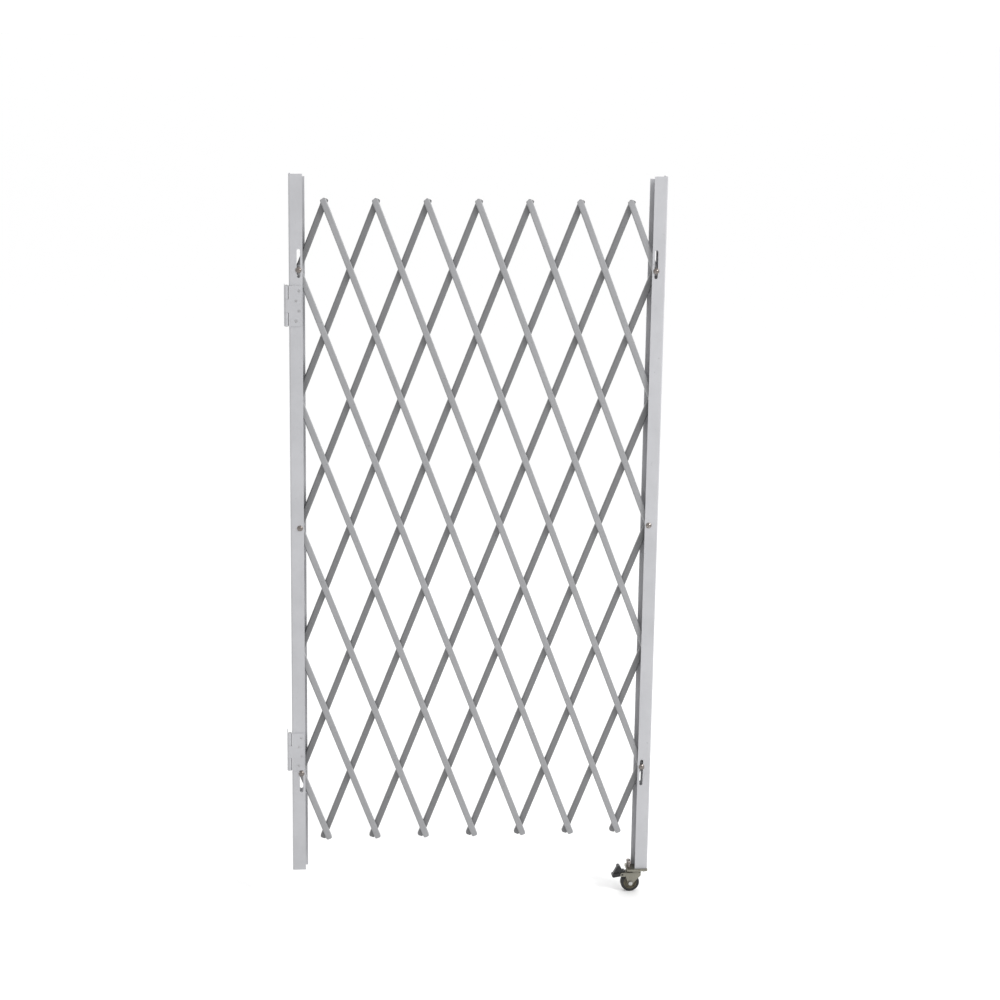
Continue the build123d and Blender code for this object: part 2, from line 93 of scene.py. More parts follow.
def share(text, value):
    """A plain factor between nought and one."""
    return FloatProperty(description=text, default=value, min=0, max=1, subtype="FACTOR")


def colour(text, value):
    """A finish's main colour."""
    return FloatVectorProperty(
        description=text, default=value, size=3, min=0, max=1, subtype="COLOR"
    )


class LatticeSizes(PropertyGroup):
    """Sizes of the scissor lattice."""

    pivot_pitch: length("Rivet to rivet along a bar", 0.1765)
    open_angle: angle("Bars from the vertical", 21.3)
    fold_angle: angle("Turn of each bar when folded", 18)
    columns: whole("Steps of the lattice across", 14, 2)
    rows: whole("Steps of the lattice down", 10, 2)
    upper_row: whole("Row of the upper slide bolts", 1)
    fixed_row: whole("Row of the fixed bolts", 5)
    lower_row: whole("Row of the lower slide bolts", 9)
    inset: length("Post's web to the pivots", 0.024)
    rise: length("Lower slide bolt above the leading post's foot", 0.2875)
    bar_width: length("Across a bar's web", 0.016)
    bar_depth: length("Web to the flanges' tips", 0.009)
    bar_wall: length("Sheet thickness", 0.0015)
    shoulder: length("Outer bend of a bar", 0.003)
    overhang: length("Bar beyond its last pivot", 0.012)
    foot_overhang: length("Bar beyond the lowest row", 0.024)
    end_corner: length("Rounding of a bar's ends", 0.005)
    layer_gap: length("Between the two layers of bars", 0.001)
    soften: length("Width of a bar's worn edges", 0.0003)
    rivet_radius: length("Shank of a rivet", 0.003)
    rivet_head: length("Radius of a rivet's head", 0.005)
    rivet_rise: length("Height of a rivet's head", 0.0016)


class PostSizes(PropertyGroup):
    """Sizes of the posts, their slots and bolts."""

    wall: length("Sheet thickness", 0.002)
    bend: length("Outer bend of a post", 0.004)
    front_flange: length("Reach of the front flange", 0.034)
    flange_drop: length("Rear flange below the post's top", 0.008)
    notch_inset: length("Bend to the start of the lowered flange", 0.001)
    soften: length("Width of a post's worn edges", 0.0003)
    slot_width: length("Across a slot", 0.0086)
    slot_play: length("Past the bolt when folded", 0.001)
    slot_back: length("Slot beyond the bolt, gate open", 0.020)
    slide_gap: length("Under the head of a sliding bolt", 0.0002)
    hole_play: length("Round a fixed bolt", 0.0001)
    bolt_radius: length("Shank of a post bolt", 0.004)
    bolt_chamfer: length("Tip of a post bolt", 0.0008)
    head_radius: length("Round head of a post bolt", 0.0075)
    head_rise: length("Height of the round head", 0.0045)
    nut_size: length("Across the flats", 0.013)
    nut_rise: length("Height of a nut", 0.005)
    spacer_radius: length("Sleeves inside the post", 0.0055)


class HingeSizes(PropertyGroup):
    """Sizes of the two butt hinges."""

    height: length("Along the pin", 0.102)
    reach: length("Pin's axis to a leaf's edge", 0.038)
    wall: length("Leaf thickness", 0.002)
    corner: length("Rounding of a leaf's corners", 0.004)
    soften: length("Width of a leaf's worn edges", 0.0002)
    barrel: length("Radius of the knuckles", 0.006)
    pin_tip: length("Radius of the pin's tips", 0.0045)
    tip_rise: length("Height of the pin's tips", 0.002)
    knuckle_gap: length("Between knuckles", 0.0003)
    knuckle_lap: length("Knuckle into its leaf", 0.001)
    leaf_gap: length("Leaf to the other leaf's knuckle", 0.0004)
    knuckles: whole("Knuckles of one hinge", 3, 2)
    screw_step: length("Between screws", 0.025)
    near_column: length("Pin to the nearer screws", 0.0235)
    far_column: length("Pin to the farther screws", 0.031)
    screw_head: length("Radius of a screw's head", 0.004)
    screw_radius: length("Shank of a screw", 0.0022)
    screw_length: length("Overall", 0.0055)
    screw_edge: length("Thickness of a head's rim", 0.00015)
    screw_tip: length("Length of the point", 0.001)
    screw_play: length("Round the shank", 0.0001)
    cross_reach: length("Middle of the recess to an arm's end", 0.0019)
    cross_half: length("Half of an arm's width", 0.0004)
    cross_depth: length("Depth of the recess", 0.0011)
    wall_hole: length("Radius of the wall screws' holes", 0.00275)


class CasterSizes(PropertyGroup):
    """Sizes of the caster."""

    wheel: length("Radius over the tyre", 0.025)
    core: length("Radius of the wheel's core", 0.0175)
    core_width: length("Across the rim", 0.016)
    web_sink: length("Rim's face to the sunken web", 0.0035)
    edge: length("Bevels of the moulding", 0.0008)
    draft: length("Slopes of the moulding", 0.001)
    tyre_width: length("Across the tyre", 0.018)
    tyre_lip: length("Bevel where the tyre meets the core", 0.0006)
    tyre_shoulder: length("Rounding of the tread's edges", 0.0035)
    tread: length("Half of the flat tread", 0.004)
    hub: length("Radius of the hub", 0.007)
    axle: length("Radius of the axle", 0.003)
    axle_nut: length("Across the flats", 0.010)
    axle_nut_rise: length("Height of the axle's head and nut", 0.0035)
    washer: length("Radius of the axle's washers", 0.0055)
    washer_wall: length("Thickness of a washer", 0.0007)
    fork_soften: length("Width of the fork's soft edges", 0.0005)
    plate_soften: length("Width of the plate's soft edges", 0.0004)
    plate_wall: length("Thickness of the swivel plate", 0.0025)
    plate_nut: length("Across the flats", 0.010)
    plate_nut_rise: length("Height of the plate's nuts", 0.005)
    plate_bolt: length("Radius of the plate's bolts", 0.003)
    bolt_stub: length("Bolt past its lower nut", 0.001)
    bolt_chamfer: length("Bevel of the bolt's end", 0.0006)
    collar: length("Radius of the bolts' collars", 0.0045)
    collar_rise: length("Height of the collars", 0.0125)
    spacing_x: length("Plate bolts along the gate", 0.040)
    spacing_y: length("Plate bolts front to back", 0.018)
    pedal_hub: length("Radius round the pedal's pin", 0.0054)
    lobe: length("Radius of the pedal's two lobes", 0.005)
    tread_reach: length("Pin back to the lower lobe", 0.0225)
    tread_drop: length("Pin down to the lower lobe", 0.004)
    tip_reach: length("Pin back to the upper lobe", 0.010)
    tip_rise: length("Pin up to the upper lobe", 0.0195)
    pedal_web: length("Thickness of the web between the lobes", 0.012)
    web_share: share("Reach of the web in the hub and the lobes", 0.8)
    pedal_soften: length("Width of the pedal's soft edges", 0.0008)


class Finishes(PropertyGroup):
    """Colours of the finishes."""

    paint: colour("Light grey enamel of posts and hinges", (0.42, 0.422, 0.439))
    # painted shade: the bars' grey is set darker than the posts' enamel, standing in for the shade
    # on their narrow rolled faces
    bars: colour("Darker grey enamel of the bars", (0.275, 0.277, 0.286))
    # painted shade: the rear bars' colours are darkened by this share, standing in for the less
    # light that reaches the layer behind
    rear_bars: share("Shade of the rear bars against the front ones", 0.55)
    screws: colour("Plated hinge screws", (0.45, 0.45, 0.46))
    bolts: colour("Browned plating of posts' and plate's bolts", (0.20, 0.178, 0.166))
    zinc: colour("Bright plating of rivets, pins and axle", (0.50, 0.50, 0.488))
    caster: colour("Yellowed plating of the fork and its plates", (0.24, 0.232, 0.195))
    core: colour("Moulded core", (0.085, 0.075, 0.048))
    tyre: colour("Rubber", (0.012, 0.012, 0.012))
    pedal: colour("Moulded lever", (0.007, 0.007, 0.008))
    floor: colour("Pale floor", (0.92, 0.92, 0.92))
    floor_roughness: share("How matt the floor is", 0.85)


# Small makers of meshes and pieces


def settings(name):
    """One of the add-on's groups of sizes."""
    return getattr(bpy.context.scene, name)


def piece(name, mesh, finish=None):
    """A new object at the origin, with its finish."""
    obj = bpy.data.objects.new(name, mesh)
    bpy.context.scene.collection.objects.link(obj)
    mesh.materials.clear()
    if finish is not None:
        mesh.materials.append(finish)
    return obj


def fit(obj, node, body):
    """Puts a piece in its CAD node's place and on this body."""
    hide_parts(node)
    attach(obj, body)


def mesh_of(name, points, faces, edges=()):
    """A mesh from plain lists."""
    mesh = bpy.data.meshes.new(name)
    mesh.from_pydata([tuple(point) for point in points], list(edges), faces)
    mesh.update()
    return mesh


def outward(mesh, merge=False):
    """Turns a closed mesh's faces outwards, after merging doubled points if asked."""
    build = bmesh.new()
    build.from_mesh(mesh)
    if merge:
        bmesh.ops.remove_doubles(build, verts=build.verts, dist=same_point)
    bmesh.ops.recalc_face_normals(build, faces=build.faces)
    build.to_mesh(mesh)
    build.free()
    return mesh


def applied(obj):
    """Gives a piece the plain mesh that its modifiers make."""
    graph = bpy.context.evaluated_depsgraph_get()
    result = bpy.data.meshes.new_from_object(obj.evaluated_get(graph), depsgraph=graph)
    obj.modifiers.clear()
    obj.data = result
    return obj


def settle(obj, soften=0.0, sharp=35.0, worn=None):
    """Softens edges sharper than this, in a worn finish if given, and shades the rest smooth."""
    if soften:
        bevel = obj.modifiers.new("soft edges", "BEVEL")
        if worn is not None:
            obj.data.materials.append(worn)
            bevel.material = len(obj.data.materials) - 1
        bevel.width = soften
        bevel.segments = 2
        bevel.limit_method = "ANGLE"
        bevel.angle_limit = radians(sharp)
        bevel.miter_outer = "MITER_ARC"
        applied(obj)
    outward(obj.data, merge=True)
    obj.data.shade_smooth()
    obj.data.set_sharp_from_angle(angle=radians(sharp))
    if soften:
        weigh = obj.modifiers.new("flat faces", "WEIGHTED_NORMAL")
        weigh.keep_sharp = True
        applied(obj)
    return obj


def combine(obj, other, operation="DIFFERENCE"):
    """Cuts another piece out of this one, or fuses it to it, and removes the other."""
    modifier = obj.modifiers.new("combine", "BOOLEAN")
    modifier.operation = operation
    modifier.solver = "EXACT"
    modifier.object = other
    applied(obj)
    bpy.data.objects.remove(other)
    return obj


def merged(shapes):
    """One mesh from several."""
    build = bmesh.new()
    for shape in shapes:
        build.from_mesh(shape)
    mesh = bpy.data.meshes.new("merged")
    build.to_mesh(mesh)
    build.free()
    return mesh


def drawn(name, node, finish):
    """A copy of a CAD node's shape, its flat faces whole again."""
    build = bmesh.new()
    build.from_mesh(frame["nodes"][node].data)
    bmesh.ops.remove_doubles(build, verts=build.verts, dist=same_point)
    bmesh.ops.dissolve_limit(
        build,
        angle_limit=radians(1),
        verts=build.verts,
        edges=build.edges,
        use_dissolve_boundaries=False,
    )
    mesh = bpy.data.meshes.new(name)
    build.to_mesh(mesh)
    build.free()
    return piece(name, mesh, finish)


def arc(centre, radius, start, end, steps):
    """Points on an arc, in degrees, both ends among them."""
    turns = [radians(start + (end - start) * step / steps) for step in range(steps + 1)]
    return [(centre[0] + radius * cos(turn), centre[1] + radius * sin(turn)) for turn in turns]


def oblong(left, low, right, high):
    """An oblong outline, which is the profile of a tube or, from nought, of a rod."""
    return [(left, low), (right, low), (right, high), (left, high)]


def mirrored(half):
    """A profile whose lower half mirrors this upper one."""
    return [(radius, -height) for radius, height in reversed(half)] + half


def ring(radius, sides, centre=(0, 0), turn=0.0):
    """A regular outline of this outer radius."""
    spots = [turn + 2 * pi * side / sides for side in range(sides)]
    return [(centre[0] + radius * cos(spot), centre[1] + radius * sin(spot)) for spot in spots]


def prism(outline, low, high, up, along):
    """A closed prism: its outline lies along X and up, and it runs along the third way."""
    across, up, along = Vector((1, 0, 0)), Vector(up), Vector(along)
    points = [across * x + up * y + along * end for end in (low, high) for x, y in outline]
    sides = len(outline)
    faces = [tuple(range(sides)), tuple(range(sides, 2 * sides))]
    for index in range(sides):
        after = (index + 1) % sides
        faces.append((index, after, after + sides, index + sides))
    return outward(mesh_of("prism", points, faces))


def upright(outline, near, far):
    """A prism whose outline is seen from the front, from depth near to depth far."""
    return prism(outline, near, far, (0, 0, 1), (0, 1, 0))


def level(outline, low, high):
    """A prism whose outline is seen from above."""
    return prism(outline, low, high, (0, 1, 0), (0, 0, 1))


def lathe(profile, centre, axis, steps=48):
    """Turns a profile of radius and height pairs round an axis; radius nought closes a pole."""
    axis = Vector(axis).normalized()
    side = axis.orthogonal().normalized()
    other = axis.cross(side)
    rings, points = [], []
    for radius, height in profile:
        turns = [2 * pi * step / steps for step in range(steps if radius else 1)]
        rings.append(range(len(points), len(points) + len(turns)))
        for turn in turns:
            spoke = side * cos(turn) + other * sin(turn)
            points.append(Vector(centre) + axis * height + spoke * radius)
    pairs = list(zip(rings, rings[1:]))
    if len(rings[0]) > 1 and len(rings[-1]) > 1:
        pairs.append((rings[-1], rings[0]))
    faces = []
    for lower, upper in pairs:
        for step in range(steps):
            after = (step + 1) % steps
            corners = []
            for band, place in ((lower, step), (lower, after), (upper, after), (upper, step)):
                corner = band[place % len(band)]
                if corner not in corners:
                    corners.append(corner)
            if len(corners) > 2:
                faces.append(tuple(corners))
    return outward(mesh_of("lathe", points, faces))


def dome(radius, foot, top, steps):
    """Profile of a low dome, from its rim at the foot to its pole at the top."""
    rise = top - foot
    ball = (radius * radius + rise * rise) / (2 * rise)
    turns = [asin(radius / ball) * (1 - step / steps) for step in range(steps + 1)]
    return [(ball * sin(turn), top - ball * (1 - cos(turn))) for turn in turns]


def nut(size, base, rise, centre, axis, turn=0.0):
    """A hexagon nut or head whose outer corners are turned off."""
    axis = Vector(axis).normalized()
    side = axis.orthogonal().normalized()
    other = axis.cross(side)
    face, straight = 0.96, 0.82  # shares of the size and the rise that the turning leaves
    corner = size / sqrt(3)
    layers = [(corner, base), (corner, base + rise * straight), (size / 2 * face, base + rise)]
    points = []
    for radius, height in layers:
        for x, y in ring(radius, 6, turn=turn):
            points.append(Vector(centre) + side * x + other * y + axis * height)
    faces = [tuple(range(6)), tuple(range(12, 18))]
    for low in (0, 6):
        for index in range(6):
            after = (index + 1) % 6
            faces.append((low + index, low + after, low + 6 + after, low + 6 + index))
    return outward(mesh_of("nut", points, faces))


# Trees of nodes


class Nodes:
    """A tree of nodes, with short ways to add and join them."""

    def __init__(self, tree):
        self.tree = tree

    def put(self, socket, value):
        """Joins a socket to another, or gives it a plain value."""
        if isinstance(value, NodeSocket):
            self.tree.links.new(value, socket)
        else:
            socket.default_value = value

    def add(self, kind, options=(), **inputs):
        """A node, with its inputs by name."""
        node = self.tree.nodes.new(kind)
        for key, value in dict(options).items():
            setattr(node, key, value)
        for key, value in inputs.items():
            self.put(node.inputs[key.replace("_", " ")], value)
        return node


class Tree(Nodes):
    """A geometry tree with named inputs, a finish among them."""

    def __init__(self, name, sockets):
        super().__init__(bpy.data.node_groups.new(name, "GeometryNodeTree"))
        self.tree.is_modifier = True
        face = self.tree.interface
        face.new_socket("Geometry", in_out="OUTPUT", socket_type="NodeSocketGeometry")
        face.new_socket("Geometry", in_out="INPUT", socket_type="NodeSocketGeometry")
        self.keys = {}
        for label, kind in {**sockets, "Finish": "Material"}.items():
            made = face.new_socket(label, in_out="INPUT", socket_type=f"NodeSocket{kind}")
            self.keys[label] = made.identifier
        self.start = self.tree.nodes.new("NodeGroupInput").outputs
        self.end = self.tree.nodes.new("NodeGroupOutput").inputs

    def reckon(self, operation, first, second=0.0):
        """One step of arithmetic."""
        node = self.add("ShaderNodeMath", {"operation": operation})
        self.put(node.inputs[0], first)
        self.put(node.inputs[1], second)
        return node.outputs[0]

    def close(self, geometry):
        """Gives the geometry its finish and hands it out."""
        finish = self.start["Finish"]
        done = self.add("GeometryNodeSetMaterial", Geometry=geometry, Material=finish)
        self.put(self.end["Geometry"], done.outputs[0])
        return self

    def use(self, obj, values):
        """Puts the tree on a piece with these inputs and turns the result into a plain mesh."""
        modifier = obj.modifiers.new(self.tree.name, "NODES")
        modifier.node_group = self.tree
        for label, value in values.items():
            modifier[self.keys[label]] = value
        return applied(obj)


@cache
def bent_sheet_tree():
    """A sheet bent along a path and run upwards, with the ends' outer corners rounded."""
    tree = Tree("bent sheet", dict.fromkeys(sheet_inputs, "Float"))
    start = tree.start
    curve = tree.add("GeometryNodeMeshToCurve", Mesh=start["Geometry"])
    bent = tree.add(
        "GeometryNodeFilletCurve",
        {"mode": "POLY"},
        Curve=curve.outputs[0],
        Count=bend_steps,
        Radius=start["Bend"],
    )
    line = tree.add("GeometryNodeCurveToMesh", Curve=bent.outputs[0])
    wire = tree.add("GeometryNodeMergeByDistance", Geometry=line.outputs[0], Distance=same_point)
    sheet = tree.add(
        "GeometryNodeExtrudeMesh",
        {"mode": "EDGES"},
        Mesh=wire.outputs[0],
        Offset=tree.add("ShaderNodeCombineXYZ", Z=1.0).outputs[0],
        Offset_Scale=start["Run"],
    )
    thick = tree.add(
        "GeometryNodeExtrudeMesh",
        {"mode": "FACES"},
        Mesh=sheet.outputs[0],
        Offset_Scale=start["Wall"],
        Individual=False,
    )
    flipped = tree.add("GeometryNodeFlipFaces", Mesh=sheet.outputs[0])
    both = tree.add("GeometryNodeJoinGeometry")
    tree.put(both.inputs[0], thick.outputs[0])
    tree.put(both.inputs[0], flipped.outputs[0])
    shell = tree.add("GeometryNodeMergeByDistance", Geometry=both.outputs[0], Distance=same_point)
    place = tree.add("GeometryNodeInputPosition")
    x, y, z = tree.add("ShaderNodeSeparateXYZ", Vector=place.outputs[0]).outputs
    corner = start["End corner"]
    inner = tree.reckon("SUBTRACT", start["Half width"], corner)
    side = tree.reckon("MAXIMUM", tree.reckon("SUBTRACT", tree.reckon("ABSOLUTE", x), inner))
    squares = tree.reckon("MULTIPLY", corner, corner), tree.reckon("MULTIPLY", side, side)
    height = tree.reckon("SQRT", tree.reckon("MAXIMUM", tree.reckon("SUBTRACT", *squares)))
    drop = tree.reckon("SUBTRACT", corner, height)
    top = tree.reckon("GREATER_THAN", z, tree.reckon("MULTIPLY", start["Run"], 0.5))
    way = tree.reckon("SUBTRACT", 1.0, tree.reckon("MULTIPLY", top, 2.0))
    shift = tree.add("ShaderNodeCombineXYZ", Z=tree.reckon("MULTIPLY", drop, way)).outputs[0]
    ended = tree.add("GeometryNodeSetPosition", Geometry=shell.outputs[0], Offset=shift)
    return tree.close(ended.outputs[0])


@cache
def scatter_tree():
    """Sets one shape at each point, each turned by a seeded random angle."""
    tree = Tree("scatter", {"Shape": "Object", "Turn": "Vector", "Seed": "Int"})
    start = tree.start
    shape = tree.add("GeometryNodeObjectInfo", Object=start["Shape"])
    points = tree.add("GeometryNodeMeshToPoints", Mesh=start["Geometry"])
    chance = tree.add("FunctionNodeRandomValue", {"data_type": "FLOAT"}, Seed=start["Seed"])
    turn = tree.add("ShaderNodeVectorMath", {"operation": "SCALE"}, Scale=chance.outputs[1])
    tree.put(turn.inputs[0], start["Turn"])
    placed = tree.add(
        "GeometryNodeInstanceOnPoints",
        Points=points.outputs[0],
        Instance=shape.outputs["Geometry"],
        Rotation=turn.outputs[0],
    )
    real = tree.add("GeometryNodeRealizeInstances", Geometry=placed.outputs[0])
    return tree.close(real.outputs[0])


def scattered(name, shape, spots, finish, turn, seed):
    """Copies of a mesh at these spots as one plain piece."""
    model = piece(name + "_model", shape, finish)
    obj = piece(name, mesh_of(name, spots, []), finish)
    scatter_tree().use(obj, {"Shape": model, "Turn": turn, "Seed": seed, "Finish": finish})
    bpy.data.objects.remove(model)
    return obj


def bent_sheet(name, path, bend, wall, run, end_corner, finish):
    """A sheet bent along a path in X and Y, standing from nought to its run."""
    points = [(x, y, 0) for x, y in path]
    edges = [(index, index + 1) for index in range(len(path) - 1)]
    values = dict(zip(sheet_inputs, (bend, wall, run, path[-1][0], end_corner)), Finish=finish)
    return bent_sheet_tree().use(piece(name, mesh_of(name, points, [], edges), finish), values)


# Finishes

# Marks: a colour or a share of the finish's own, size as a noise's scale, rarity, metal, roughness
Marks = namedtuple("Marks", "tint scale rarity metal rough")
Look = namedtuple(
    "Look", "colour metal rough mottle grain grain_scale marks coat lift", defaults=(0.0, 1.0)
)
bare_steel = Marks((0.36, 0.355, 0.35), 130, 0.54, 0.9, 0.34)
looks = {
    # stoved enamel, slightly uneven like orange peel, with a few handling marks
    "grey_enamel": Look(
        "paint", 0.0, 0.36, 0.05, 0.16, 700, Marks(0.72, 95, 0.66, 0.0, 0.55), coat=0.12
    ),
    # the bars' enamel, from their darker grey, which is painted shade
    "bar_enamel": Look(
        "bars", 0.0, 0.34, 0.06, 0.16, 700, Marks(0.7, 110, 0.62, 0.0, 0.5), coat=0.15
    ),
    # the same along the edges, rubbed through to the steel in places
    "rubbed_enamel": Look("paint", 0.0, 0.42, 0.05, 0.10, 700, bare_steel, lift=1.08),
    # the bars' rubbed edges start from the same darker grey, painted shade as above
    "rubbed_bar_enamel": Look("bars", 0.0, 0.42, 0.05, 0.10, 700, bare_steel, lift=1.08),
    # bright plating with dull patches
    "bright_zinc": Look("zinc", 1.0, 0.28, 0.12, 0.14, 1400, Marks(0.6, 240, 0.60, 1.0, 0.55)),
    "plated_screws": Look("screws", 1.0, 0.36, 0.12, 0.12, 1400, Marks(0.6, 260, 0.58, 1.0, 0.5)),
    # browned plating, worn bright in places
    "browned_zinc": Look(
        "bolts", 1.0, 0.30, 0.15, 0.15, 1400, Marks((0.52, 0.50, 0.48), 200, 0.58, 1.0, 0.25)
    ),
    # pressed parts near the floor, gone yellowish and dull
    "yellowed_zinc": Look(
        "caster", 0.85, 0.40, 0.14, 0.22, 900, Marks((0.20, 0.175, 0.13), 160, 0.58, 0.6, 0.6)
    ),
    # mouldings: dusty in patches, dust in the rubber's grain, scuffed where it is trodden on
    "core_plastic": Look("core", 0.0, 0.42, 0.14, 0.16, 1200, Marks(1.7, 120, 0.57, 0.0, 0.7)),
    "tyre_rubber": Look(
        "tyre", 0.0, 0.70, 0.25, 0.40, 1600, Marks((0.045, 0.043, 0.040), 150, 0.58, 0.0, 0.9)
    ),
    "pedal_nylon": Look(
        "pedal", 0.0, 0.40, 0.18, 0.25, 1800, Marks((0.03, 0.03, 0.032), 170, 0.58, 0.0, 0.65)
    ),
}
cloud_noise, smear_noise = (9, 5, 0.6), (60, 5, 0.65)  # scale, detail and roughness
smear = 0.8, 1.25  # least and most roughness against a look's own
coat_roughness = 0.18
mark_edge = 0.03  # how softly a mark begins
grain_height = 0.0004


def shaded(tint, factor):
    """A colour made darker or lighter."""
    return [min(1, part * factor) for part in tint]


class Shading(Nodes):
    """A shader's nodes."""

    def noise(self, scale, detail, rough):
        """Uneven values on the object's own coordinates, from about 0.3 to 0.7."""
        place = self.add("ShaderNodeTexCoord").outputs["Object"]
        values = dict(Vector=place, Scale=scale, Detail=detail, Roughness=rough)
        return self.add("ShaderNodeTexNoise", **values).outputs["Fac"]

    def ranged(self, value, low, high, start=0.35, end=0.65):
        """A value stretched to run from low to high."""
        ends = dict(From_Min=start, From_Max=end, To_Min=low, To_Max=high)
        return self.add("ShaderNodeMapRange", Value=value, **ends).outputs["Result"]

    def blended(self, factor, first, second):
        """Two colours mixed by a factor."""
        node = self.add("ShaderNodeMix", {"data_type": "RGBA"}, Factor=factor)
        sockets = [plug for plug in node.inputs if plug.type == "RGBA"]
        for socket, value in zip(sockets, (first, second)):
            self.put(socket, value if isinstance(value, NodeSocket) else (*value, 1))
        return next(plug for plug in node.outputs if plug.type == "RGBA")


def surface(kind, name=None, painted_shade=1.0):
    """A look's material, made once: cloudy colour, uneven gloss, fine grain and sparse marks."""
    name = name or kind
    if name in bpy.data.materials:
        return bpy.data.materials[name]
    look = looks[kind]
    marks = look.marks
    # painted_shade darkens the colour of the rear bars' copies of the bar finishes: painted shade
    tint = shaded(getattr(settings("gate_finishes"), look.colour), look.lift * painted_shade)
    mark_tint = shaded(tint, marks.tint) if isinstance(marks.tint, float) else marks.tint
    material = bpy.data.materials.new(name)
    material.use_nodes = True
    material.diffuse_color = (*tint, 1)
    nodes = Shading(material.node_tree)
    inputs = nodes.tree.nodes["Principled BSDF"].inputs
    if look.coat:
        inputs["Coat Weight"].default_value = look.coat
        inputs["Coat Roughness"].default_value = coat_roughness
    clouds = nodes.ranged(nodes.noise(*cloud_noise), 0, 1)
    body = nodes.blended(clouds, shaded(tint, 1 - look.mottle), shaded(tint, 1 + look.mottle))
    gloss = nodes.ranged(nodes.noise(*smear_noise), *(look.rough * part for part in smear))
    speckle = nodes.noise(marks.scale, 6, 0.7)
    spots = nodes.ranged(speckle, 0, 1, marks.rarity, marks.rarity + mark_edge)
    metal = look.metal
    if marks.metal != metal:
        metal = nodes.ranged(spots, metal, marks.metal, 0, 1)
    mixed = nodes.add("ShaderNodeMix", Factor=spots, A=gloss, B=marks.rough)
    grain = nodes.noise(look.grain_scale, 3, 0.5)
    bump = nodes.add("ShaderNodeBump", Strength=look.grain, Distance=grain_height, Height=grain)
    nodes.put(inputs["Base Color"], nodes.blended(spots, body, mark_tint))
    nodes.put(inputs["Metallic"], metal)
    nodes.put(inputs["Roughness"], mixed.outputs["Result"])
    nodes.put(inputs["Normal"], bump.outputs["Normal"])
    return material


# The lattice


def pivot(column, row):
    """X and Z of one pivot."""
    sizes = settings("gate_lattice")
    x = hanging_low.x + sizes.inset + column * sizes.pivot_pitch * sin(sizes.open_angle)
    low = leading_low.z + sizes.rise
    return x, low + (sizes.lower_row - row) * sizes.pivot_pitch * cos(sizes.open_angle)


def on_post(column, row):
    """True where a bolt joins the bars to a post."""
    sizes = settings("gate_lattice")
    rows = (sizes.upper_row, sizes.fixed_row, sizes.lower_row)
    return column in (0, sizes.columns) and row in rows


def bars_of(layer):
    """Number and pivots from the left of each bar; front bars fall to the right, rear ones rise."""
    sizes = settings("gate_lattice")
    first, way = (1 - sizes.rows, 1) if layer == "front" else (1, -1)
    starts = range(first, first + sizes.columns + sizes.rows - 1, 2)
    for count, start in enumerate(starts, 1):
        places = [(column, way * (column - start)) for column in range(sizes.columns + 1)]
        yield count, [(column, row) for column, row in places if 0 <= row <= sizes.rows]


def depth_of(layer):
    """Depth of the front faces of a layer's bars."""
    sizes = settings("gate_lattice")
    return sizes.layer_gap / 2 if layer == "rear" else -sizes.layer_gap / 2 - sizes.bar_depth


def rolled_bar(name, places, layer):
    """One bar of the lattice, rolled to a channel, its ends cropped with round corners."""
    sizes = settings("gate_lattice")
    (x_1, z_1), (x_2, z_2) = pivot(*places[0]), pivot(*places[-1])
    reach = hypot(x_2 - x_1, z_2 - z_1)
    along = Vector(((x_2 - x_1) / reach, 0, (z_2 - z_1) / reach))
    across = Vector((along.z, 0, -along.x))
    half, deep, corner = sizes.bar_width / 2, sizes.bar_depth, sizes.end_corner
    flat = half - corner
    path = [(-half, deep), (-half, 0), (-flat, 0), (flat, 0), (half, 0), (half, deep)]
    overhangs = [
        sizes.foot_overhang if row == sizes.rows else sizes.overhang
        for column, row in (places[0], places[-1])
    ]
    run = reach + sum(overhangs)
    # the rear bars get darkened copies of the bar finishes (rear_bar_enamel,
    # rubbed_rear_bar_enamel): painted shade for the layer behind
    painted_shade = settings("gate_finishes").rear_bars if layer == "rear" else 1
    enamel = surface("bar_enamel", f"{layer}_bar_enamel", painted_shade)
    bar = bent_sheet(name, path, sizes.shoulder, sizes.bar_wall, run, corner, enamel)
    worn = surface("rubbed_bar_enamel", f"rubbed_{layer}_bar_enamel", painted_shade)
    settle(bar, sizes.soften, worn=worn)
    start = Vector((x_1, depth_of(layer), z_1)) - along * overhangs[0]
    turn = Matrix((across, (0, 1, 0), along)).transposed().to_4x4()
    bar.data.transform(Matrix.Translation(start) @ turn)
    return bar


class GATE_OT_bars(Operator):
    """Make the lattice's bars, each on its own body"""

    bl_idname = "gate.bars"
    bl_label = "Lattice bars"

    def execute(self, context):
        for layer in ("front", "rear"):
            for count, places in bars_of(layer):
                node = f"{layer}_bar_{count:02d}"
                fit(rolled_bar("rolled_" + node, places, layer), node, node)
        return {"FINISHED"}


class GATE_OT_rivets(Operator):
    """Set a row of domed rivets on each front bar"""

    bl_idname = "gate.rivets"
    bl_label = "Rivets"

    def execute(self, context):
        sizes = settings("gate_lattice")
        root = depth_of("front") + sizes.bar_wall
        seat = depth_of("rear") + sizes.bar_wall + hair
        profile = [(0, root), (sizes.rivet_radius, root), (sizes.rivet_radius, seat)]
        profile += dome(sizes.rivet_head, seat, seat + sizes.rivet_rise, 4)
        shape = lathe(profile, (0, 0, 0), (0, 1, 0), 16)
        turn = (0, radians(30), 0)
        for count, places in bars_of("front"):
            free = [pivot(*place) for place in places if not on_post(*place)]
            spots = [(x, 0, z) for x, z in free]
            name = f"domed_rivets_{count:02d}"
            row = scattered(name, shape.copy(), spots, surface("bright_zinc"), turn, count)
            fit(settle(row), f"rivets_{count:02d}", f"front_bar_{count:02d}")
        return {"FINISHED"}


# The posts


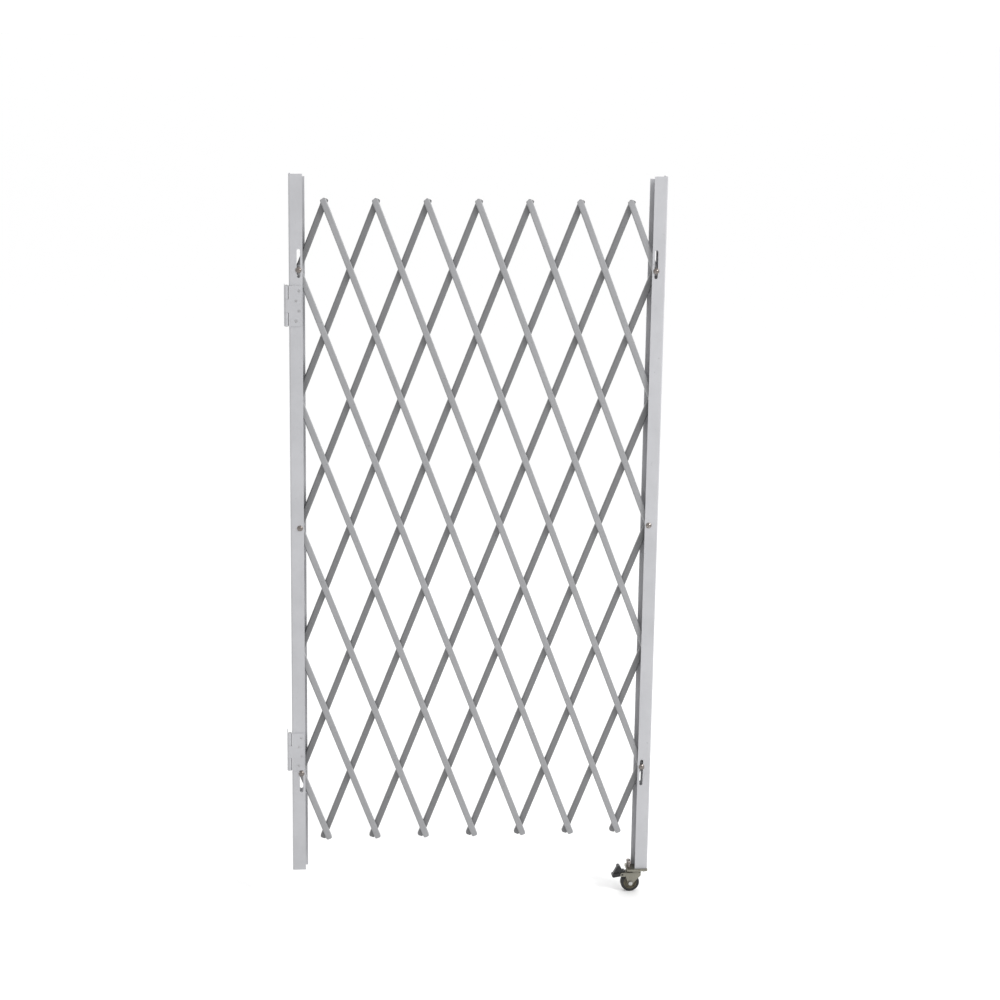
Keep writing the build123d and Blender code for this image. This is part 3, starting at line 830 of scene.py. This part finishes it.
def slot_outline(column, row):
    """Outline of the slot in which a post bolt slides, with round ends."""
    lattice, sizes = settings("gate_lattice"), settings("gate_posts")
    x, z = pivot(column, row)
    open_pitch = lattice.pivot_pitch * cos(lattice.open_angle)
    folded_pitch = lattice.pivot_pitch * cos(lattice.open_angle - lattice.fold_angle)
    travel = (lattice.fixed_row - row) * (folded_pitch - open_pitch)
    half = sizes.slot_width / 2
    reach = abs(travel) + sizes.bolt_radius + sizes.slot_play - half
    back = sizes.slot_back - half
    low, high = (z - back, z + reach) if travel > 0 else (z - reach, z + back)
    return arc((x, high), half, 0, 180, 12) + arc((x, low), half, 180, 360, 12)


def channel_post(name, low, high, column, hand):
    """A pressed channel post; hand is 1 where it opens towards the lattice on its right."""
    lattice, sizes = settings("gate_lattice"), settings("gate_posts")
    half = (high.y - low.y) / 2
    flange = high.x - low.x
    path = [(-half, sizes.front_flange), (-half, 0), (half, 0), (half, flange)]
    run = high.z - low.z
    channel = bent_sheet(name, path, sizes.bend, sizes.wall, run, 0.0, surface("grey_enamel"))
    web = low.x if hand > 0 else high.x
    place = Matrix(((0, hand, 0, web), (1, 0, 0, 0), (0, 0, 1, low.z), (0, 0, 0, 1)))
    channel.data.transform(place)
    settle(channel)
    outlines = [slot_outline(column, row) for row in (lattice.upper_row, lattice.lower_row)]
    fixed = pivot(column, lattice.fixed_row)
    outlines.append(ring(sizes.bolt_radius + sizes.hole_play, 24, fixed))
    cutters = [upright(outline, -2 * half, 2 * half) for outline in outlines]
    near = web + hand * (sizes.bend + sizes.notch_inset)
    notch = oblong(near, high.z - sizes.flange_drop, near + hand * flange, high.z + sizes.wall)
    cutters.append(upright(notch, half - 2 * sizes.wall, half + sizes.wall))
    combine(channel, piece("cutters", merged(cutters)))
    return settle(channel, sizes.soften, 30, surface("rubbed_enamel"))


class GATE_OT_posts(Operator):
    """Make the two channel posts with their slots"""

    bl_idname = "gate.posts"
    bl_label = "Posts"

    def execute(self, context):
        columns = settings("gate_lattice").columns
        for side, low, high, column, hand in (
            ("hanging", hanging_low, hanging_high, 0, 1),
            ("leading", leading_low, leading_high, columns, -1),
        ):
            post = channel_post("channel_post_" + side, low, high, column, hand)
            fit(post, side + "_post", side + "_post")
        return {"FINISHED"}


def post_bolt(name, column, row, gap):
    """A round head bolt through a post, its nut and its two sleeves."""
    lattice, sizes = settings("gate_lattice"), settings("gate_posts")
    x, z = pivot(column, row)
    centre, ahead, back = (x, 0, z), (0, -1, 0), (0, 1, 0)
    half = (hanging_high.y - hanging_low.y) / 2
    seat = half + gap
    inside = half - sizes.wall - gap
    wide, rise = sizes.head_radius, sizes.head_rise
    head = [(0, seat), (wide * 0.97, seat), (wide, seat + rise * 0.08), (wide, seat + rise * 0.17)]
    head += dome(wide * 0.96, seat + rise * 0.2, seat + rise, 8)
    shank, tip = sizes.bolt_radius, seat + sizes.nut_rise
    rod = [(0, -seat), (shank, -seat), (shank, tip - sizes.bolt_chamfer)]
    rod += [(shank * 0.82, tip), (0, tip)]
    shapes = [
        lathe(head, centre, ahead, 40),
        lathe(rod, centre, back, 24),
        nut(sizes.nut_size, seat, sizes.nut_rise * 0.9, centre, back, 0.3),
    ]
    web = depth_of("front") - (0 if gap else hair)
    rear = depth_of("rear") + lattice.bar_wall + hair
    for near, far in ((-inside, web), (rear, inside)):
        sleeve = oblong(shank * 1.02, near, sizes.spacer_radius, far)
        shapes.append(lathe(sleeve, centre, back, 32))
    return settle(piece(name, merged(shapes), surface("browned_zinc")), sharp=32)


class GATE_OT_post_bolts(Operator):
    """Make the six bolts that hold the lattice to the posts"""

    bl_idname = "gate.post_bolts"
    bl_label = "Post bolts"

    def execute(self, context):
        lattice, gap = settings("gate_lattice"), settings("gate_posts").slide_gap
        right = lattice.columns
        for node, column, row, play, body in (
            ("hanging_pivot_bolt", 0, lattice.fixed_row, 0, "hanging_post"),
            ("leading_pivot_bolt", right, lattice.fixed_row, 0, "leading_post"),
            ("upper_left_slide_bolt", 0, lattice.upper_row, gap, "front_bar_05"),
            ("lower_left_slide_bolt", 0, lattice.lower_row, gap, "front_bar_01"),
            ("upper_right_slide_bolt", right, lattice.upper_row, gap, "front_bar_12"),
            ("lower_right_slide_bolt", right, lattice.lower_row, gap, "front_bar_08"),
        ):
            fit(post_bolt("domed_" + node, column, row, play), node, body)
        return {"FINISHED"}


# The hinges


def hinge_middles():
    """Heights of the middles of the lower and the upper hinge."""
    half = settings("gate_hinges").height / 2
    return leaf_low.z + half, leaf_high.z - half


def screw_spots(middle):
    """Reach from the pin and height of one leaf's staggered screws."""
    sizes = settings("gate_hinges")
    columns = (sizes.far_column, sizes.near_column) * 2
    top = middle + (len(columns) - 1) / 2 * sizes.screw_step
    return [(column, top - place * sizes.screw_step) for place, column in enumerate(columns)]


def hinge_leaf(middle, first_knuckle):
    """A leaf with rolled knuckles: reach along X, its outer face at minus the barrel's radius."""
    sizes = settings("gate_hinges")
    low, high = middle - sizes.height / 2, middle + sizes.height / 2
    near = sizes.barrel + sizes.leaf_gap
    inner = sizes.wall - sizes.barrel
    corner, bend = sizes.corner, sizes.reach - sizes.corner
    flat = [(near, low), (near, high)]
    flat += arc((bend, high - corner), corner, 90, 0, 6)
    flat += arc((bend, low + corner), corner, 0, -90, 6)
    leaf = piece("leaf", upright(flat, -sizes.barrel, inner), surface("grey_enamel"))
    lap = near + sizes.knuckle_lap
    outline = arc((0, 0), sizes.barrel, degrees(asin(inner / sizes.barrel)), 270, 40)[:-1]
    outline += [(0, -sizes.barrel), (lap, -sizes.barrel), (lap, inner)]
    step = (sizes.height + sizes.knuckle_gap) / sizes.knuckles
    for place in range(first_knuckle, sizes.knuckles, 2):
        bottom = low + place * step
        knuckle = level(outline, bottom, bottom + step - sizes.knuckle_gap)
        combine(leaf, piece("knuckle", knuckle), "UNION")
    return leaf


def bored_leaves(name, first_knuckle, bore, place):
    """The like leaves of both hinges in one piece, bored with this profile and put in place."""
    leaves = []
    for middle in hinge_middles():
        leaf = hinge_leaf(middle, first_knuckle)
        for reach, height in screw_spots(middle):
            combine(leaf, piece("bore", lathe(bore, (reach, 0, height), (0, -1, 0), 32)))
        leaf.data.transform(place)
        leaves.append(leaf.data)
        bpy.data.objects.remove(leaf)
    whole = piece(name, merged(leaves), surface("grey_enamel"))
    return settle(whole, settings("gate_hinges").soften, 30, surface("rubbed_enamel"))


def cross_screw():
    """A countersunk screw with a cross recess, its head's face at nought."""
    sizes = settings("gate_hinges")
    head, shank, end = sizes.screw_head, sizes.screw_radius, sizes.screw_length
    profile = [(0, 0), (head * 0.97, 0), (head, sizes.screw_edge)]
    profile += [(shank, sizes.wall), (shank, end - sizes.screw_tip), (0, end)]
    screw = piece("screw", lathe(profile, (0, 0, 0), (0, 1, 0), 24), surface("plated_screws"))
    reach, half, deep = sizes.cross_reach, sizes.cross_half, sizes.cross_depth
    for wide, high in ((reach, half), (half, reach)):
        combine(screw, piece("blade", upright(oblong(-wide, -high, wide, high), -deep, deep)))
    shape = screw.data
    bpy.data.objects.remove(screw)
    return shape


class GATE_OT_hinges(Operator):
    """Make the hinges' leaves, pins and screws"""

    bl_idname = "gate.hinges"
    bl_label = "Hinges"

    def execute(self, context):
        sizes = settings("gate_hinges")
        axis = Vector(joint_places["gate_swing"])
        depth, beyond = sizes.barrel - sizes.wall, sizes.barrel * 2
        bore = oblong(0, depth / 2, sizes.wall_hole, beyond)
        turn = Matrix(((0, 1, 0, axis.x), (1, 0, 0, axis.y), (0, 0, 1, 0), (0, 0, 0, 1)))
        wall = bored_leaves("rolled_wall_leaves", 0, bore, turn)
        fit(wall, "hinge_wall_leaves", "wall_side")
        sink, hole = sizes.screw_head + hair, sizes.screw_radius + sizes.screw_play
        cone = [(0, beyond), (sink, beyond), (sink, sizes.barrel)]
        cone += [(hole, depth), (hole, depth / 2), (0, depth / 2)]
        place = Matrix.Translation((axis.x, axis.y, 0))
        post = bored_leaves("rolled_post_leaves", 1, cone, place)
        fit(post, "hinge_post_leaves", "hanging_post")
        half, rise = sizes.height / 2, sizes.tip_rise
        upper = [(sizes.pin_tip * 0.66, half), (sizes.pin_tip, half)]
        upper += dome(sizes.pin_tip, half + rise * 0.2, half + rise, 5)
        middles = [(axis.x, axis.y, middle) for middle in hinge_middles()]
        shapes = [lathe(mirrored(upper), middle, (0, 0, 1), 32) for middle in middles]
        pins = settle(piece("domed_hinge_pins", merged(shapes), surface("bright_zinc")))
        fit(pins, "hinge_pins", "wall_side")
        face = axis.y - sizes.barrel
        places = [place for middle in hinge_middles() for place in screw_spots(middle)]
        spots = [(axis.x + reach, face, height) for reach, height in places]
        turn = (0, 2 * pi, 0)
        finish = surface("plated_screws")
        row = scattered("cross_recessed_screws", cross_screw(), spots, finish, turn, 3)
        fit(settle(row), "hinge_screws", "hanging_post")
        return {"FINISHED"}


# The caster


class GATE_OT_wheel(Operator):
    """Make the caster's core, tyre and axle"""

    bl_idname = "gate.wheel"
    bl_label = "Wheel"

    def execute(self, context):
        sizes = settings("gate_caster")
        centre, across = Vector(joint_places["wheel_spin"]), (0, 1, 0)
        width, rim = (core_high.y - core_low.y) / 2, sizes.core_width / 2
        web, edge, draft = rim - sizes.web_sink, sizes.edge, sizes.draft
        half = [
            (sizes.axle + hair, width),
            (sizes.hub - draft, width),
            (sizes.hub, width - edge),
            (sizes.hub + edge, web + edge),
            (sizes.hub + edge + draft, web),
            (sizes.core - 2 * edge - 2 * draft, web),
            (sizes.core - 2 * edge - draft, web + edge),
            (sizes.core - edge - draft, rim - edge / 2),
            (sizes.core - edge, rim),
            (sizes.core, rim),
        ]
        shape = lathe(mirrored(half), centre, across, 72)
        core = settle(piece("moulded_wheel_core", shape, surface("core_plastic")))
        fit(core, "caster_wheel", "caster_wheel")
        side, lip, bend = sizes.tyre_width / 2, sizes.tyre_lip, sizes.tyre_shoulder
        rounded = arc((side - bend, sizes.wheel - bend), bend, 0, 75, 6)
        half = [(sizes.core, side - lip), (sizes.core + lip, side)]
        half += [(radius, height) for height, radius in rounded] + [(sizes.wheel, sizes.tread)]
        shape = lathe(mirrored(half), centre, across, 96)
        tyre = settle(piece("rounded_tyre", shape, surface("tyre_rubber")), sharp=50)
        fit(tyre, "caster_tyre", "caster_wheel")
        shank, cheek = sizes.axle, (fork_high.y - fork_low.y) / 2
        seat, end = cheek + sizes.washer_wall, cheek + sizes.axle_nut_rise
        rise = end - seat
        tip = [(0, cheek), (shank * 0.9, cheek), (shank * 0.9, seat + rise * 0.92)]
        tip += [(shank * 0.7, end), (0, end)]
        washer = oblong(shank, cheek, sizes.washer, seat)
        shapes = [lathe(oblong(0, -cheek, shank, cheek), centre, across, 24)]
        for out in ((0, -1, 0), (0, 1, 0)):
            shapes.append(lathe(washer, centre, out, 32))
            shapes.append(nut(sizes.axle_nut, seat, rise * 0.85, centre, out, 0.4))
            shapes.append(lathe(tip, centre, out, 20))
        axle = settle(piece("hexagon_axle_bolt", merged(shapes), surface("bright_zinc")))
        fit(axle, "caster_axle", "caster_fork")
        return {"FINISHED"}


class GATE_OT_caster_frame(Operator):
    """Make the fork, the swivel plate and the bolts of the plate"""

    bl_idname = "gate.caster_frame"
    bl_label = "Fork and plate"

    def execute(self, context):
        sizes = settings("gate_caster")
        fork = drawn("pressed_fork", "caster_fork", surface("yellowed_zinc"))
        fit(settle(fork, sizes.fork_soften), "caster_fork", "caster_fork")
        swivel = drawn("swivel_plate", "caster_top_plate", surface("yellowed_zinc"))
        fit(settle(swivel, sizes.plate_soften), "caster_top_plate", "leading_post")
        under, top = plate_high.z - sizes.plate_wall, foot_high.z
        upper, rise = top + sizes.collar_rise, sizes.plate_nut_rise
        end, shank = under - rise - sizes.bolt_stub, sizes.plate_bolt
        rod = [(0, end), (shank * 0.8, end), (shank, end + sizes.bolt_chamfer), (shank, upper)]
        foot, up, down = (0, 0, 0), (0, 0, 1), (0, 0, -1)
        shapes = [
            lathe([*rod, (0, upper)], foot, up, 20),
            nut(sizes.plate_nut, -under, rise, foot, down),
            lathe(oblong(0, top, sizes.collar, upper), foot, up, 24),
            nut(sizes.plate_nut, upper, rise, foot, up),
        ]
        middle = (plate_low.x + plate_high.x) / 2
        half_x, half_y = sizes.spacing_x / 2, sizes.spacing_y / 2
        spots = [(middle + x, y, 0) for x in (-half_x, half_x) for y in (-half_y, half_y)]
        turn = (0, 0, radians(50))
        bolts = scattered("plate_bolts", merged(shapes), spots, surface("browned_zinc"), turn, 5)
        fit(settle(bolts), "caster_plate_bolts", "leading_post")
        return {"FINISHED"}


class GATE_OT_pedal(Operator):
    """Make the brake pedal, a web between its two lobes"""

    bl_idname = "gate.pedal"
    bl_label = "Brake pedal"

    def execute(self, context):
        sizes = settings("gate_caster")
        pedal = settle(drawn("moulded_pedal", "brake_pedal", surface("pedal_nylon")))
        x, y, z = joint_places["brake_press"]
        lobe = sizes.lobe * sizes.web_share
        rims = ring(sizes.pedal_hub * sizes.web_share, 32, (x, z))
        rims += ring(lobe, 32, (x - sizes.tread_reach, z - sizes.tread_drop))
        rims += ring(lobe, 32, (x - sizes.tip_reach, z + sizes.tip_rise))
        outline = [rims[index] for index in convex_hull_2d(rims)]
        web = piece("web", upright(outline, -sizes.pedal_web / 2, sizes.pedal_web / 2))
        settle(combine(pedal, web, "UNION"), sizes.pedal_soften)
        fit(pedal, "brake_pedal", "brake_pedal")
        return {"FINISHED"}


class GATE_OT_finishes(Operator):
    """Give the pieces that stay as drawn their finish"""

    bl_idname = "gate.finishes"
    bl_label = "Finishes"

    def execute(self, context):
        for node in ("foot_plate", "caster_kingpin"):
            materials = frame["nodes"][node].data.materials
            materials.clear()
            materials.append(surface("yellowed_zinc"))
        return {"FINISHED"}


class GATE_OT_stage(Operator):
    """Set the floor, the soft lights and the camera"""

    bl_idname = "gate.stage"
    bl_label = "Stage"

    def execute(self, context):
        finishes = settings("gate_finishes")
        size = 400
        corners = [(x, y, 0) for x, y in oblong(-size, -size, size, size)]
        matt = bpy.data.materials.new("pale_floor")
        matt.use_nodes = True
        inputs = matt.node_tree.nodes["Principled BSDF"].inputs
        inputs["Base Color"].default_value = (*finishes.floor, 1)
        inputs["Roughness"].default_value = finishes.floor_roughness
        piece("floor", mesh_of("floor", corners, [(0, 1, 2, 3)]), matt)
        context.scene.view_settings.view_transform = "Standard"
        context.scene.world = self.room()
        target = Vector((0, 0, 0.95))
        for name, place, power, width in (
            ("key", (3.2, -2.4, 3.4), 90, 1.2),
            ("rim", (1.5, 3.2, 3.0), 20, 2.0),
        ):
            light = bpy.data.lights.new(name, "AREA")
            light.energy = power
            light.size = width
            lamp = bpy.data.objects.new(name, light)
            lamp.location = place
            aim = target - Vector(place)
            lamp.rotation_euler = aim.to_track_quat("-Z", "Y").to_euler()
            context.scene.collection.objects.link(lamp)
        self.camera(context)
        return {"FINISHED"}

    def room(self):
        """A pale surrounding, a little darker towards the front left."""
        world = bpy.data.worlds.new("pale room")
        world.use_nodes = True
        nodes = Shading(world.node_tree)
        inputs = nodes.tree.nodes["Background"].inputs
        inputs["Color"].default_value = (1, 1, 1, 1)
        way = nodes.add("ShaderNodeVectorMath", {"operation": "DOT_PRODUCT"})
        nodes.put(way.inputs[0], nodes.add("ShaderNodeTexCoord").outputs["Generated"])
        nodes.put(way.inputs[1], (0.7, 0.7, 0))
        dark, bright = 0.85, 1.22
        nodes.put(inputs["Strength"], nodes.ranged(way.outputs["Value"], dark, bright, -0.7, 0.35))
        return world

    def camera(self, context):
        """A long lens, a little above the gate's top and to its left, level but for a hair."""
        yaw, pitch, roll = radians(5.74), radians(-12.47), radians(0.83)
        ahead = Vector((sin(yaw) * cos(pitch), cos(yaw) * cos(pitch), sin(pitch)))
        right = Vector((cos(yaw), -sin(yaw), 0))
        up = right.cross(ahead)
        right, up = cos(roll) * right + sin(roll) * up, cos(roll) * up - sin(roll) * right
        data = bpy.data.cameras.new("camera")
        data.sensor_width = 36
        data.lens = 77.04
        data.clip_end = 1000
        camera = bpy.data.objects.new("camera", data)
        turn = Matrix((right, up, -ahead)).transposed().to_4x4()
        camera.matrix_world = Matrix.Translation((-0.4675, -5.343, 2.2665)) @ turn
        context.scene.collection.objects.link(camera)
        context.scene.camera = camera


class GATE_PT_panel(Panel):
    """The gate's makers, in order"""

    bl_idname = "GATE_PT_panel"
    bl_label = "Scissor Gate"
    bl_space_type = "VIEW_3D"
    bl_region_type = "UI"
    bl_category = "Gate"

    def draw(self, context):
        for maker in makers:
            self.layout.operator(maker.bl_idname)
        for group in groups:
            box = self.layout.box()
            box.label(text=groups[group].__doc__)
            for key in groups[group].__annotations__:
                label = key.replace("_", " ").capitalize()
                box.prop(getattr(context.scene, group), key, text=label)


groups = {
    "gate_lattice": LatticeSizes,
    "gate_posts": PostSizes,
    "gate_hinges": HingeSizes,
    "gate_caster": CasterSizes,
    "gate_finishes": Finishes,
}
makers = (
    GATE_OT_bars,
    GATE_OT_rivets,
    GATE_OT_posts,
    GATE_OT_post_bolts,
    GATE_OT_hinges,
    GATE_OT_wheel,
    GATE_OT_caster_frame,
    GATE_OT_pedal,
    GATE_OT_finishes,
    GATE_OT_stage,
)


def register():
    """Registers the groups of sizes, the makers and the panel."""
    for name, group in groups.items():
        bpy.utils.register_class(group)
        setattr(bpy.types.Scene, name, PointerProperty(type=group))
    for maker in makers:
        bpy.utils.register_class(maker)
    bpy.utils.register_class(GATE_PT_panel)


def unregister():
    """Takes them away again."""
    bpy.utils.unregister_class(GATE_PT_panel)
    for maker in reversed(makers):
        bpy.utils.unregister_class(maker)
    for name, group in groups.items():
        delattr(bpy.types.Scene, name)
        bpy.utils.unregister_class(group)


def main():
    """Registers the add-on and makes everything in order."""
    register()
    for maker in makers:
        family, name = maker.bl_idname.split(".")
        getattr(getattr(bpy.ops, family), name)()


if __name__ == "__main__":
    main()
